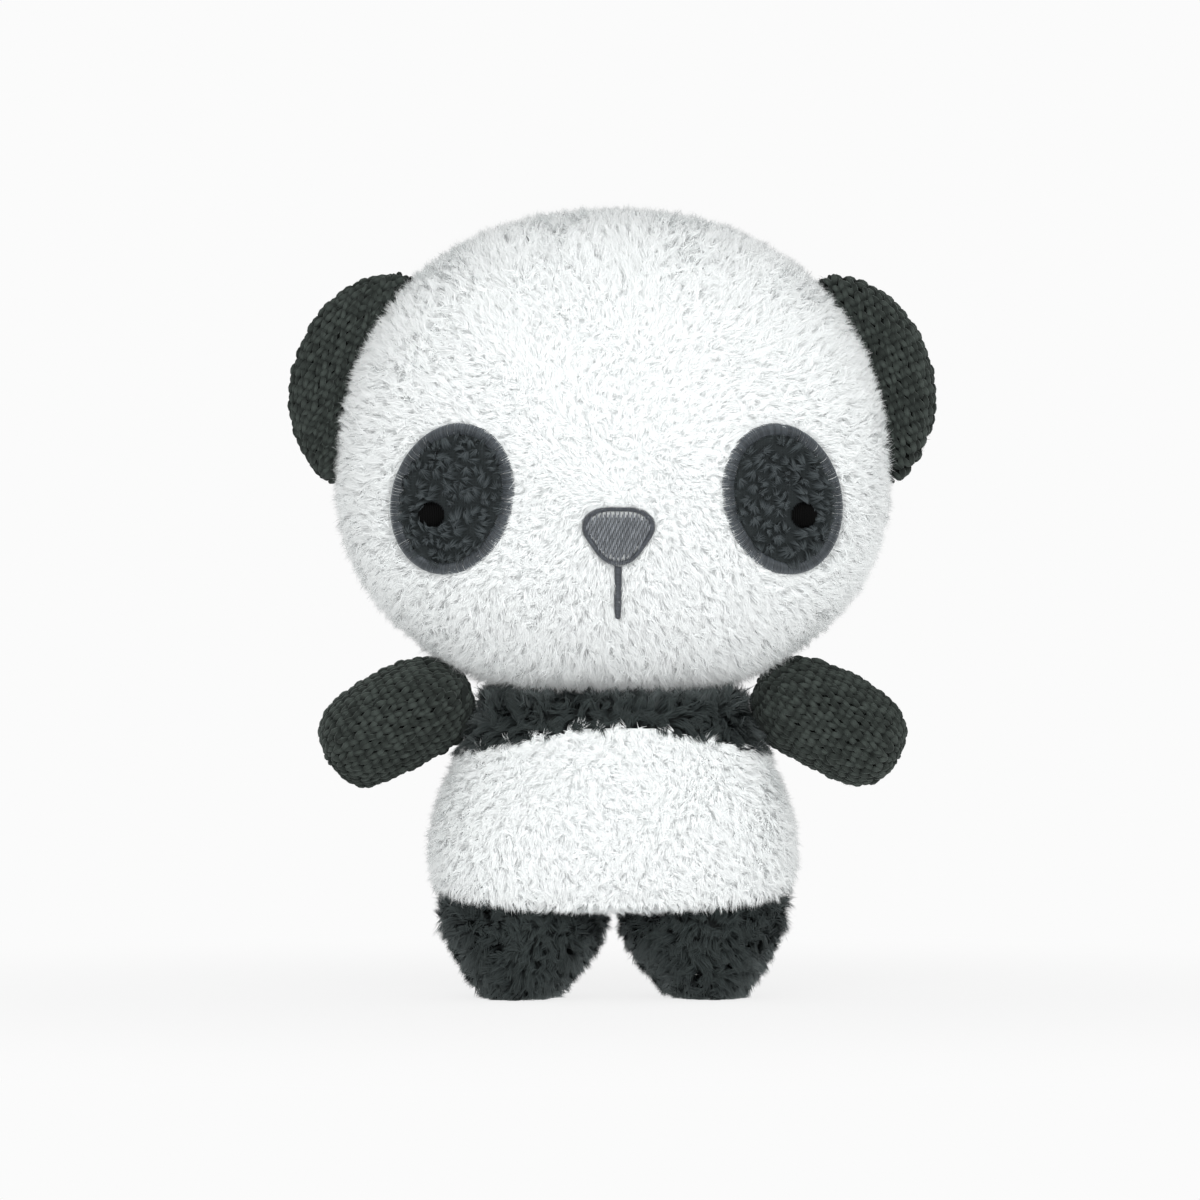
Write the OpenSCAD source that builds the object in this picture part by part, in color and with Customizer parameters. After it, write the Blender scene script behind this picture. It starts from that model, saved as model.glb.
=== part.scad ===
// Plush panda: a big pillow head on a short pear-shaped body, with knitted ears and arms,
// stub legs and an embroidered face. The panda stands on +Z and faces -Y. The origin is on the
// floor, under the middle of the head. Left and right are the panda's own.

/* [Head] */
// Width of the head
head_w = 175; // [140:1:220]
// Height from the chin up to where the head is widest
head_low = 69; // [55:1:90]
// Height from there up to the crown
head_up = 83; // [65:1:105]
// Thickness of the head, front to back
head_d = 94; // [76:1:116]
// Open space between the neck opening and the chin
chin_gap = 2.5; // [2:0.1:5]

/* [Eyes] */
// Distance of each eye patch from the middle, as a share of half the head's width
eye_spread = 0.588; // [0.5:0.001:0.66]
// Height of the eye patches above the chin
eye_rise = 60.2; // [50:0.1:75]
// Width of an eye patch with its stitched border
eye_w = 37.5; // [28:0.5:42]
// Height of an eye patch with its stitched border
eye_h = 47.6; // [36:0.5:54]
// Lean of each patch towards the nose, in degrees
eye_lean = 15; // [0:1:25]
// Width of the satin-stitched border
border_w = 3.2; // [2:0.1:5]
// Diameter of a pupil
pupil_d = 7.8; // [5:0.1:11]
// How far a pupil sits outwards from the middle of its patch
pupil_out = 5.6; // [0:0.1:8]
// How far a pupil sits below the middle of its patch
pupil_drop = 4.8; // [0:0.1:9]

/* [Nose and mouth] */
// Width of the nose
nose_w = 22.4; // [14:0.1:30]
// Height of the nose
nose_h = 17.8; // [11:0.1:24]
// Height of the nose's tip above the chin
nose_rise = 39.6; // [30:0.1:50]
// Length of the mouth line below the nose
mouth_l = 15.6; // [8:0.1:24]
// Width of the mouth line
mouth_w = 2.4; // [1.4:0.1:4]

/* [Ears] */
// How far an ear stands out from the head
ear_out = 16.5; // [11:0.5:24]
// Thickness of an ear
ear_d = 15; // [10:0.5:20]
// Open space between an ear's root and the head
ear_gap = 1.2; // [1.1:0.1:3]

/* [Body] */
// Height of the body at the neck
body_h = 95.5; // [79:0.1:116]
// How far the shoulders rise above the neck, at most
shoulder_rise = 8; // [0:0.5:12]
// Open space between the shoulders and the underside of the head
shoulder_gap = 3; // [2:0.1:6]
// Width of the body at the chest
chest_w = 87; // [72:0.1:105]
// Thickness of the body at the chest
chest_d = 58; // [54:1:70]
// Width of the body at the belly
belly_w = 115; // [95:1:138]
// Thickness of the body at the belly
belly_d = 71; // [68:1:86]
// Width of the body at its lower hem
hip_w = 112; // [93:0.1:135]
// Thickness of the body at its lower hem
hip_d = 62; // [61:1:78]
// Height of the widest part of the belly
belly_z = 46; // [42:0.5:54]
// How far the widest part of the chest lies below the neck opening
chest_drop = 11.5; // [9:0.5:16]
// How far the dark chest band reaches down in the middle
band_mid_drop = 8.5; // [6.5:0.5:14]
// How far the dark chest band reaches down at the sides
band_side_drop = 18.5; // [15:0.5:26]
// Height of the white belly's lower edge in front
hem_z = 28.5; // [28:0.1:30]
// Height of the white belly's lower edge at the sides
hem_side_z = 33.5; // [33.2:0.1:34]

/* [Arms] */
// Length of an arm from its shoulder point to its tip
arm_l = 34.5; // [28:0.5:42]
// Height of an arm, seen from the front
arm_h = 30; // [25:0.5:31]
// Thickness of an arm, front to back
arm_d = 28; // [24.5:0.5:30]
// Droop of an arm below level, in degrees
arm_droop = 32; // [20:1:40]
// How far the arms' turning points lie below the neck opening
arm_drop = 2.5; // [1:0.5:6]
// Radius of an arm's gathered root
arm_root_r = 14.6; // [12:0.1:14.8]

/* [Legs] */
// Open space between the legs where they are widest
leg_gap = 3; // [2.4:0.1:8]
// Thickness of a leg where it is thickest
leg_d = 50; // [44:0.5:52]
// Width of the flat sole
sole_w = 17; // [14:0.5:28]
// Length of the flat sole, heel to toe
sole_l = 31; // [24:0.5:38]
// Height of the crease that a leg bends on
hip_z = 34; // [33.8:0.1:35]

/* [Neck] */
// How far the neck's turning point lies below the neck opening
neck_drop = 15; // [13:0.1:18]

/* [Cloth] */
// Thickness of the plush with its pile pressed flat
plush = 3.5; // [2.5:0.1:4.2]
// Thickness of the knitted cloth
knit = 2; // [1:0.1:2.4]
// Thickness of the short plush of the eye patches
patch_t = 2.4; // [1.6:0.1:3.5]
// Thickness of the satin stitching
satin_t = 2; // [1.2:0.1:3]
// Open space between pieces that move on each other
play = 0.6; // [0.5:0.05:0.9]

/* [Hidden] */

// Colours of the cloths and threads.
white_plush = "whitesmoke";
dark_plush = "#2d3235";
dark_knit = "#3b403c";
patch_plush = "#43484b";
grey_thread = "#5f6770";
black_thread = "#141414";
fibrefill = "ivory";

// Space between a stuffing and its cloth, and under stitching that lies on cloth.
pad_gap = 0.4;
laid_gap = 0.15;
// Smallest ring at a pole, as a share of the full ring.
pole = 0.04;

// ---- Curves and small helpers ----
function mix(a, b, t) = a + (b - a) * t;
function signed_pow(v, e) = sign(v) * pow(abs(v), e);
function oval(a, w, h, n) = [w * signed_pow(cos(a), 2 / n), h * signed_pow(sin(a), 2 / n)];
function middle(ring) = [for (k = [0:2]) [for (p = ring) p[k]] * [for (p = ring) 1 / len(ring)]];
function flip(list) = [for (i = [len(list) - 1:-1:0]) list[i]];
function steps(n) = [for (i = [0:n]) i / n];
// Pushes a point out of a ball, so that the ball can turn in the hollow that is left.
function clear_of(p, c, r) = let (v = p - c, d = norm(v)) d >= r ? p : c + v * (r / max(d, 0.001));

// A closed solid skinned over rings of points, with a fan of triangles at each end. Each ring
// runs counter-clockwise about the way that the rings are stacked.
module ring_solid(rings) {
    n = len(rings[0]);
    m = len(rings);
    points = [for (ring = rings) each ring, middle(rings[0]), middle(rings[m - 1])];
    polyhedron(points, [
        for (i = [0:m - 2], k = [0:n - 1]) let (a = i * n + k, b = i * n + (k + 1) % n)
            each [[a, b + n, b], [a, a + n, b + n]],
        for (k = [0:n - 1]) [k, (k + 1) % n, m * n],
        for (k = [0:n - 1]) let (base = (m - 1) * n) [base + (k + 1) % n, base + k, m * n + 1]]);
}

// A closed band skinned over loops of points, where the last loop joins the first.
module band_solid(loops) {
    n = len(loops[0]);
    m = len(loops);
    polyhedron([for (loop = loops) each loop], [
        for (i = [0:m - 1], k = [0:n - 1])
            let (j = (i + 1) % m, l = (k + 1) % n)
            each [[i * n + k, j * n + l, i * n + l], [i * n + k, j * n + k, j * n + l]]]);
}

// A cloth panel: rows of outer points over rows of inner points, with an edge all round.
module panel_solid(outer, inner) {
    m = len(outer);
    n = len(outer[0]);
    loops = [for (i = [0:m - 1]) concat(outer[i], flip(inner[i]))];
    w = 2 * n;
    last = (m - 1) * w;
    polyhedron([for (loop = loops) each loop], [
        for (i = [0:m - 2], k = [0:w - 1]) let (a = i * w + k, b = i * w + (k + 1) % w)
            each [[a, b + w, b], [a, a + w, b + w]],
        for (k = [0:n - 2]) each [[k, w - 2 - k, w - 1 - k], [k, k + 1, w - 2 - k]],
        for (k = [0:n - 2]) each [[last + k, last + w - 2 - k, last + k + 1],
            [last + k, last + w - 1 - k, last + w - 2 - k]]]);
}

// The same shape on the panda's right.
module on_side(side) {
    if (side > 0) children();
    else mirror([1, 0, 0]) children();
}

// ---- Sizes shared by the body and the legs ----
// Distance that a leg stays inside the hem.
leg_inset = 1.9;
leg_w = (hip_w - leg_gap) / 2 - leg_inset;
leg_x = (leg_w + leg_gap) / 2;
// The leg's rounded top lies in the body, inside a wall of stuffing.
leg_wall = 3.8;
leg_top_w = 2 * (hip_w / 2 - plush - pad_gap - play - leg_x);
leg_top_r = hip_d / 2 - plush - pad_gap - leg_wall - play;

// ---- Head ----
chin_z = body_h + chin_gap;
head_z = chin_z + head_low;
neck_at = [0, 0, body_h - neck_drop];
// The neck's core is a ball that ends just below the chin.
neck_r = chin_gap + neck_drop - play;
neck_band_r = neck_r + play + 1;
neck_socket_r = neck_band_r + play;
// Fullness of the head's outline above and below its widest line, and of its pillow shape.
crown_n = 2.2;
jowl_n = 2.28;
pillow_in = 2.6;
pillow_out = 2.2;
head_sides = 48;
head_rings = 8;

function head_n(up) = up >= 0 ? crown_n : jowl_n;
function head_reach(up) = up >= 0 ? head_up : head_low;
// How far out a point of the face is: 0 in the middle, 1 at the side seam.
function head_share(x, up) = let (n = head_n(up))
    pow(pow(abs(x) / (head_w / 2), n) + pow(abs(up) / head_reach(up), n), 1 / n);
function pillow(share) = pow(max(0, 1 - pow(share, pillow_in)), 1 / pillow_out);
// A point of the head's skin, cut back by a thickness. face is -1 in front and 1 behind.
function head_point(a, share, cut, face) =
    let (up = sin(a), edge = oval(a, head_w / 2 - cut, head_reach(up) - cut, head_n(up)))
    [share * edge[0], face * (head_d / 2 - cut) * pillow(share), head_z + share * edge[1]];
function head_ring(share, cut, face, turn = 1) =
    [for (k = [0:head_sides - 1]) head_point(turn * 360 * k / head_sides, share, cut, face)];
function head_shares(n) = [for (s = steps(n)) s == 0 ? pole : sin(90 * s)];

module head_panel(face) {
    shares = head_shares(head_rings);
    color(white_plush) ring_solid(concat(
        [for (s = shares) head_ring(s, plush, face, -face)],
        [for (s = flip(shares)) head_ring(s, 0, face, -face)]));
}

module head_stuffing() {
    shares = head_shares(head_rings);
    cut = plush + pad_gap;
    color(fibrefill) ring_solid(concat(
        [for (s = shares) head_ring(s, cut, 1)],
        [for (i = [len(shares) - 2:-1:0]) head_ring(shares[i], cut, -1)]));
}

// ---- Face ----
face_step = 0.5;
function face_y(x, z) = -head_d / 2 * pillow(head_share(x, z - head_z));
// A point that lies h above the skin of the face.
function on_face(x, z, h) =
    let (slope_x = (face_y(x + face_step, z) - face_y(x - face_step, z)) / (2 * face_step),
        slope_z = (face_y(x, z + face_step) - face_y(x, z - face_step)) / (2 * face_step),
        out = [slope_x, -1, slope_z])
    [x, face_y(x, z), z] + out * (h / norm(out));

eye_x = eye_spread * head_w / 2;
eye_z = chin_z + eye_rise;
function eye_point(a, w, h, lift) =
    let (x = w * cos(a), z = h * sin(a))
    on_face(eye_x + x * cos(eye_lean) - z * sin(eye_lean),
        eye_z + x * sin(eye_lean) + z * cos(eye_lean), lift);
patch_sides = 32;

module eye_patch(side) {
    w = eye_w / 2 - border_w - laid_gap;
    h = eye_h / 2 - border_w - laid_gap;
    function ring(s, lift) =
        [for (k = [0:patch_sides - 1]) eye_point(360 * k / patch_sides, w * s, h * s, lift)];
    color(patch_plush) on_side(side) ring_solid(concat(
        [for (s = [pole, 0.35, 0.7, 1]) ring(s, laid_gap)],
        [for (s = [1, 0.94, 0.7, 0.35, pole]) ring(s, laid_gap + (s == 1 ? 0.7 : 1) * patch_t)]));
}

module eye_border(side) {
    section = [[0, 0], [0, 0.65], [0.3, 1], [0.7, 1], [1, 0.6], [1, 0]];
    color(grey_thread) on_side(side) band_solid([for (k = [0:39]) [for (p = section)
        eye_point(9 * k, eye_w / 2 - border_w * (1 - p[0]), eye_h / 2 - border_w * (1 - p[0]),
            laid_gap + p[1] * (satin_t + 0.6))]]);
}

module pupil(side) {
    base = 2 * laid_gap + patch_t;
    function ring(s, lift) = [for (k = [0:19]) let (a = 18 * k)
        on_face(eye_x + pupil_out + s * pupil_d / 2 * cos(a),
            eye_z - pupil_drop + s * pupil_d / 2 * sin(a), lift)];
    color(black_thread) on_side(side) ring_solid(concat(
        [ring(0.1, base), ring(1, base)],
        [ring(1, base + 0.35), ring(0.8, base + 0.9), ring(0.1, base + 1.1)]));
}

// The nose is a triangle with round corners and its tip down.
nose_tip_z = chin_z + nose_rise;
nose_corner = 0.11;
nose_sides = 36;
function nose_reach(a) = 1 + nose_corner * sin(3 * a);
nose_spread = max([for (a = [0:5:90]) nose_reach(a) * cos(a)]);
nose_tall = nose_reach(90) + nose_reach(-90);
function nose_ring(s, lift) = [for (k = [0:nose_sides - 1])
    let (a = 360 * k / nose_sides, r = s * nose_reach(a))
    on_face(r * cos(a) * nose_w / 2 / nose_spread,
        nose_tip_z + (nose_reach(-90) + r * sin(a)) * nose_h / nose_tall, lift)];

module nose() {
    color(grey_thread) ring_solid(concat(
        [for (s = [0.05, 0.5, 1]) nose_ring(s, laid_gap)],
        [nose_ring(1, laid_gap + 0.6 * satin_t), nose_ring(0.86, laid_gap + satin_t),
            nose_ring(0.5, laid_gap + satin_t), nose_ring(0.05, laid_gap + satin_t)]));
}

module mouth() {
    section = [[1, 0], [0.85, 0.6], [0.4, 1], [-0.4, 1], [-0.85, 0.6], [-1, 0]];
    top_z = nose_tip_z - laid_gap;
    color(grey_thread) ring_solid([for (s = steps(8))
        let (half = mouth_w / 2 * (1 - 0.6 * pow(s, 4)))
        [for (p = section) on_face(p[0] * half, top_z - s * mouth_l,
            laid_gap + p[1] * 0.8 * satin_t * (1 - 0.4 * pow(s, 4)))]]);
}

// ---- Ears ----
// The root follows the head's side seam between two angles of its outline.
ear_mid_a = 22;
ear_half_a = 23.4;
ear_tilt = 17.5;
ear_dir = [cos(ear_tilt), 0, sin(ear_tilt)];
ear_edge_t = 1.4;
ear_root_t = 1.5;
ear_rows = 12;
ear_cols = 7;
function ear_root(v) = let (edge = oval(ear_mid_a + ear_half_a * v, head_w / 2, head_up, crown_n),
        low = oval(ear_mid_a + ear_half_a * v, head_w / 2, head_low, jowl_n),
        at = edge[1] >= 0 ? edge : low)
    [at[0], 0, head_z + at[1]] + ear_gap * ear_dir;
function ear_reach(v) = max(0.1, pow(1 - pow(abs(v), 2.6), 0.5)) * ear_out;
function ear_dome(u, v) = pow(max(0, 4 * u * (1 - u)), 0.55) * pow(max(0, 1 - v * v), 0.5);
function ear_half(u, v) = mix(ear_root_t, ear_edge_t, u) + (ear_d / 2 - ear_root_t) * ear_dome(u, v);
function ear_point(u, v, y) = ear_root(v) + u * ear_reach(v) * ear_dir + [0, y, 0];
ear_vs = [for (s = steps(ear_rows)) -cos(180 * s)];
ear_us = [for (s = steps(ear_cols)) mix(s, (1 - cos(180 * s)) / 2, 0.7)];

module ear_panel(side, face) {
    function row(v, cut) = [for (u = face < 0 ? ear_us : flip(ear_us))
        ear_point(u, v, face * max(ear_half(u, v) - cut, 0.1))];
    color(dark_knit) on_side(side)
        panel_solid([for (v = ear_vs) row(v, 0)], [for (v = ear_vs) row(v, knit)]);
}

module ear_padding(side) {
    inside = 0.72;
    function half(u, v) = max(ear_half(u, v) - knit - pad_gap, 0.3);
    us = [for (u = ear_us) mix(0.14, 0.9, u)];
    vs = [for (v = ear_vs) v * inside];
    color(fibrefill) on_side(side) panel_solid(
        [for (v = vs) [for (u = us) ear_point(u, v, -half(u, v))]],
        [for (v = vs) [for (u = us) ear_point(u, v, half(u, v))]]);
}

// ---- Neck ----
neck_floor = 7;
neck_sides = 32;
function ball_ring(r, z, n) = let (out = sqrt(max(0, r * r - z * z)))
    [for (k = [0:n - 1]) neck_at + [out * cos(360 * k / n), out * sin(360 * k / n), z]];

module neck_stuffing() {
    color(fibrefill) ring_solid([for (z = [neck_floor, 0.5 * neck_r, 0.68 * neck_r, 0.8 * neck_r,
        0.87 * neck_r]) ball_ring(neck_r, z, neck_sides)]);
}

module neck_seam() {
    low = 0.44 * neck_band_r;
    high = 0.7 * neck_band_r;
    rows = [ball_ring(neck_band_r, low, neck_sides), ball_ring(neck_band_r, high, neck_sides),
        ball_ring(neck_r + play, high, neck_sides), ball_ring(neck_r + play, low, neck_sides)];
    color(grey_thread)
        band_solid([for (k = [0:neck_sides - 1]) [for (r = flip(rows)) r[k]]]);
}

// ---- Body ----
// The skin runs up a path: 0 at the hem, turn_at at the chest, 1 at the neck opening.
turn_at = 0.7;
chest_z = body_h - chest_drop;
shoulder_n = 2.6;
body_n = 2.6;
neck_open_r = sqrt(neck_socket_r * neck_socket_r - neck_drop * neck_drop) + 0.3;
body_cols = 20;
shoulder_top = body_h + shoulder_rise;
// The shoulders fall away to front and back so that the head can nod.
nod_room = 0.38;
function body_z(t) = t <= turn_at ? mix(hem_z, chest_z, t / turn_at)
    : chest_z + (shoulder_top - chest_z) * pow(sin(90 * (t - turn_at) / (1 - turn_at)), 2 / shoulder_n);
// Height of the head's underside over a place on the body.
function under_head(x, y) =
    let (share = pow(max(0, 1 - pow(min(1, 2 * abs(y) / head_d), pillow_out)), 1 / pillow_in),
        left = pow(share, jowl_n) - pow(min(1, 2 * abs(x) / head_w), jowl_n))
    head_z - head_low * pow(max(0, left), 1 / jowl_n);
function path_at(z) = z <= chest_z ? turn_at * (z - hem_z) / (chest_z - hem_z)
    : turn_at + (1 - turn_at) / 90 * asin(pow((z - chest_z) / (shoulder_top - chest_z), shoulder_n / 2));
function swell(z, hip, belly, chest) = z <= belly_z
    ? belly - (belly - hip) * pow((belly_z - z) / (belly_z - hem_z), 2)
    : belly - (belly - chest) * pow((z - belly_z) / (chest_z - belly_z), 2);
function shoulder_in(t) = t <= turn_at ? 1
    : pow(max(0, cos(90 * (t - turn_at) / (1 - turn_at))), 2 / shoulder_n);
function body_half(t, hip, belly, chest) =
    let (full = swell(min(body_z(t), chest_z), hip, belly, chest) / 2)
    mix(neck_open_r, full, shoulder_in(t));
function body_point(a, t, cut) =
    let (n = mix(2, body_n, shoulder_in(t)), lean = t <= turn_at ? 0 : 1 - shoulder_in(t),
        at = oval(a, body_half(t, hip_w, belly_w, chest_w) - cut * (1 - lean),
            body_half(t, hip_d, belly_d, chest_d) - cut * (1 - lean), n))
    clear_of([at[0], at[1], min(body_z(t) - cut * min(1, 3 * lean), under_head(at[0], at[1]) - cut
        - mix(shoulder_gap + nod_room * abs(at[1]), chin_gap, lean))], neck_at, neck_socket_r);
function hem_path(a) = path_at(mix(hem_z, hem_side_z, pow(abs(cos(a)), 3)));
function band_path(a) =
    path_at(body_h - mix(band_mid_drop, band_side_drop, pow(abs(cos(a)), 1.6)));
// face is -1 in front and 1 behind. Columns run from one side seam to the other.
function body_columns(face) = [for (s = steps(body_cols)) face * 180 * (face < 0 ? 1 - s : s)];

module body_panel(face, low, high, rows, tint) {
    function row(s, cut) = [for (a = body_columns(face)) body_point(a, mix(low(a), high(a), s), cut)];
    color(tint) panel_solid([for (s = steps(rows)) row(s, 0)], [for (s = steps(rows)) row(s, plush)]);
}
seam_gap = 0.002;
belly_low = function(a) hem_path(a);
belly_high = function(a) band_path(a) - seam_gap;
chest_low = function(a) band_path(a) + seam_gap;
chest_high = function(a) 1;

// The hollow under the body for the rounded tops of the legs.
hollow_r = leg_top_r + 1.6 * play;
stuffing_sides = 2 * body_cols;

module body_stuffing() {
    cut = plush + pad_gap;
    low_t = path_at(hip_z + 0.5);
    hollow_w = leg_top_w / 2 + 1.6 * play;
    angles = [for (k = [0:stuffing_sides - 1]) 360 * k / stuffing_sides];
    function hollow_ring(s) = let (in = sqrt(1 - s * s))
        [for (a = angles) [leg_x * sign(round(1000 * cos(a))) + in * hollow_w * cos(a),
            in * hollow_r * sin(a), hip_z + s * hollow_r]];
    function bowl_ring(r, z) = [for (a = angles) neck_at + [r * cos(a), r * sin(a), z]];
    color(fibrefill) ring_solid(concat(
        [for (s = [0.995, 0.96, 0.88, 0.75, 0.59, 0.4, 0.21, 0.02]) hollow_ring(s)],
        [for (s = steps(13)) [for (a = angles)
            body_point(a, mix(low_t, 0.97, pow(s, 0.85)), cut + 3 * s * pad_gap)]],
        [for (s = [0.42, 0.24, 0.04]) bowl_ring(neck_socket_r * sqrt(1 - s * s), s * neck_socket_r)],
        [bowl_ring(1, 0.04 * neck_socket_r)]));
}

// Hand stitches that close the side seam, where the stuffing went in.
module closing_stitch() {
    low = path_at(belly_z);
    high = path_at(mix(belly_z, body_h - band_side_drop, 0.85));
    half = 1.1;
    section = [[1, 0], [0.6, 1], [-0.6, 1], [-1, 0]];
    color(white_plush) ring_solid([for (s = steps(10)) let (at = body_point(180, mix(low, high, s), 0))
        [for (p = section) at + [-laid_gap - 0.9 * p[1], p[0] * half * (s == 0 || s == 1 ? 0.4 : 1), 0]]]);
}

// ---- Arms ----
// An arm is made along its own axis: u runs to the tip and w is up, square to it.
// Space between the widest part of the chest and an arm's root.
shoulder_room = 1.4;
// The arms' roots stay below the cheeks and outside the body, whatever its shape.
cheek_room = 4.6;
seam_low = 0.6;
shoulder_z = min(body_h - arm_drop,
    under_head(chest_w / 2 + shoulder_room + arm_root_r, 0) - arm_root_r - cheek_room);
shoulder_x = swell(min(chest_z, shoulder_z - seam_low * arm_root_r), hip_w, belly_w, chest_w) / 2
    + shoulder_room + arm_root_r;
shoulder_at = [shoulder_x, 0, shoulder_z];
arm_u = [cos(arm_droop), 0, -sin(arm_droop)];
arm_w = [sin(arm_droop), 0, cos(arm_droop)];
arm_cols = 12;
arm_rise = 1.5;
arm_rows = 14;
// Along the arm: the round root, then the barrel, then the round tip.
tip_r = arm_h / 2 * 0.86;
function arm_at(t) = t < 0.25 ? -arm_root_r * cos(360 * t)
    : t > 0.7 ? arm_l - tip_r + tip_r * sin(300 * (t - 0.7)) : mix(0, arm_l - tip_r, (t - 0.25) / 0.45);
function arm_swell(t, full) = t < 0.25 ? arm_root_r * sin(360 * t)
    : t > 0.7 ? (full - 0.5) * pow(cos(300 * (t - 0.7)), 0.8)
    : mix(arm_root_r, full - 0.5 * pow(max(0, (t - 0.25) / 0.45 - 0.5) * 2, 2),
        sin(min(90, 150 * (t - 0.25) / 0.45)));
arm_ts = [for (s = steps(arm_rows)) mix(0.012, 0.996, s)];
// The cloth thins to nothing at the poles, so each ring keeps a small size there.
function arm_ring(t, cut, angles) =
    let (u = arm_at(t), high = arm_swell(t, arm_h / 2), deep = arm_swell(t, arm_d / 2),
        rise = arm_rise * max(0, min(1, u / 8)), shrink = cut / max(high, 2 * cut),
        in_u = u < 0 ? u * (1 - cut / arm_root_r) : u > arm_l - tip_r
            ? arm_l - tip_r + (u - arm_l + tip_r) * (1 - cut / tip_r) : u)
    [for (a = angles) shoulder_at + arm_u * in_u + arm_w * (rise + high * (1 - shrink) * cos(a))
        - [0, deep * (1 - shrink) * sin(a), 0]];
function half_turn(face) = [for (s = steps(arm_cols)) face * 180 * (face > 0 ? s : 1 - s)];

module arm_panel(side, face) {
    angles = half_turn(-face);
    color(dark_knit) on_side(side) panel_solid([for (t = arm_ts) arm_ring(t, 0, angles)],
        [for (t = arm_ts) arm_ring(t, knit, angles)]);
}

module arm_stuffing(side) {
    angles = [for (k = [0:2 * arm_cols - 1]) 180 * k / arm_cols];
    color(fibrefill) on_side(side)
        ring_solid([for (t = [for (s = steps(10)) mix(0.06, 0.96, s)])
            arm_ring(t, knit + pad_gap, angles)]);
}

// A ring of gathering thread round the arm's root, in the notch beside the body.
module shoulder_seam(side) {
    low_a = 31;
    high_a = 43;
    inner_r = arm_root_r + 0.75 * play;
    outer_r = inner_r + 0.5;
    section = [[inner_r, low_a], [inner_r, high_a], [outer_r, high_a], [outer_r, low_a]];
    color(dark_knit) on_side(side) band_solid([for (k = [0:23]) let (a = 15 * k) [for (p = section)
        shoulder_at + p[0] * [-cos(p[1]), sin(p[1]) * cos(a), sin(p[1]) * sin(a)]]]);
}

// ---- Legs ----
leg_cols = 12;
leg_neck_z = hip_z - 2;
// Rows of height, shift of the middle, half width and half thickness, from the sole to the hem.
leg_rows = [
    [0, 2.4, sole_w / 2, sole_l / 2],
    [1.4, 2.3, mix(sole_w, leg_w, 0.15) / 2, mix(sole_l, leg_d, 0.28) / 2],
    [4.2, 1.9, mix(sole_w, leg_w, 0.28) / 2, mix(sole_l, leg_d, 0.56) / 2],
    [8.5, 1.2, mix(sole_w, leg_w, 0.46) / 2, mix(sole_l, leg_d, 0.86) / 2],
    [13, 0.7, mix(sole_w, leg_w, 0.64) / 2, leg_d / 2],
    [18, 0.4, mix(sole_w, leg_w, 0.82) / 2, leg_d / 2],
    [23, 0.3, leg_w / 2 - 1, mix(leg_d, 2 * leg_top_r, 0.5) / 2],
    [hem_z - 1, 0.3, leg_w / 2 - 1.2, leg_top_r],
    [leg_neck_z, 0, leg_top_w / 2, leg_top_r]];
function leg_oval(row, cut, shrink, angles) = [for (a = angles)
    [leg_x + row[1] + shrink * (row[2] - cut) * cos(a), shrink * (row[3] - cut) * sin(a),
        row[0] + (row[0] < 2 * cut ? cut * (1 - row[0] / (2 * cut)) : 0)]];

module leg_panel(side, face) {
    angles = half_turn(face);
    function skin(cut) = concat([leg_oval(leg_rows[0], cut, pole, angles)],
        [for (row = leg_rows) leg_oval(row, cut, 1, angles)]);
    color(dark_plush) on_side(side) intersection() {
        panel_solid(skin(0), skin(plush));
        translate([-belly_w, -belly_w, 0]) cube(2 * belly_w);
    }
}

module leg_stuffing(side) {
    angles = [for (k = [0:2 * leg_cols - 1]) 180 * k / leg_cols];
    cut = plush + pad_gap;
    last = leg_rows[len(leg_rows) - 1];
    shelf = [leg_neck_z + pad_gap, 0, leg_top_w / 2, leg_top_r];
    function top_ring(s) = let (in = sqrt(1 - s * s)) [for (a = angles)
        [leg_x + in * leg_top_w / 2 * cos(a), in * leg_top_r * sin(a), hip_z + s * leg_top_r]];
    color(fibrefill) on_side(side) ring_solid(concat(
        [leg_oval(leg_rows[0], cut, pole, angles)],
        [for (row = leg_rows) leg_oval(row, cut, 1, angles)],
        [leg_oval([last[0] + pad_gap / 2, 0, last[2], last[3]], cut, 1, angles)],
        [leg_oval(shelf, 0, 1, angles)],
        [for (s = [0, 0.35, 0.6, 0.8, 0.93, 0.995]) top_ring(s)]));
}

module head_front() { head_panel(-1); }
module head_back() { head_panel(1); }
module eye_patch_left() { eye_patch(1); }
module eye_patch_right() { eye_patch(-1); }
module eye_border_left() { eye_border(1); }
module eye_border_right() { eye_border(-1); }
module pupil_left() { pupil(1); }
module pupil_right() { pupil(-1); }
module ear_front_left() { ear_panel(1, -1); }
module ear_back_left() { ear_panel(1, 1); }
module ear_padding_left() { ear_padding(1); }
module ear_front_right() { ear_panel(-1, -1); }
module ear_back_right() { ear_panel(-1, 1); }
module ear_padding_right() { ear_padding(-1); }
module chest_front() { body_panel(-1, chest_low, chest_high, 6, dark_plush); }
module chest_back() { body_panel(1, chest_low, chest_high, 6, dark_plush); }
module belly_front() { body_panel(-1, belly_low, belly_high, 8, white_plush); }
module belly_back() { body_panel(1, belly_low, belly_high, 8, white_plush); }
module shoulder_seam_left() { shoulder_seam(1); }
module shoulder_seam_right() { shoulder_seam(-1); }
module arm_front_left() { arm_panel(1, -1); }
module arm_back_left() { arm_panel(1, 1); }
module arm_stuffing_left() { arm_stuffing(1); }
module arm_front_right() { arm_panel(-1, -1); }
module arm_back_right() { arm_panel(-1, 1); }
module arm_stuffing_right() { arm_stuffing(-1); }
module leg_front_left() { leg_panel(1, -1); }
module leg_back_left() { leg_panel(1, 1); }
module leg_stuffing_left() { leg_stuffing(1); }
module leg_front_right() { leg_panel(-1, -1); }
module leg_back_right() { leg_panel(-1, 1); }
module leg_stuffing_right() { leg_stuffing(-1); }

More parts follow.
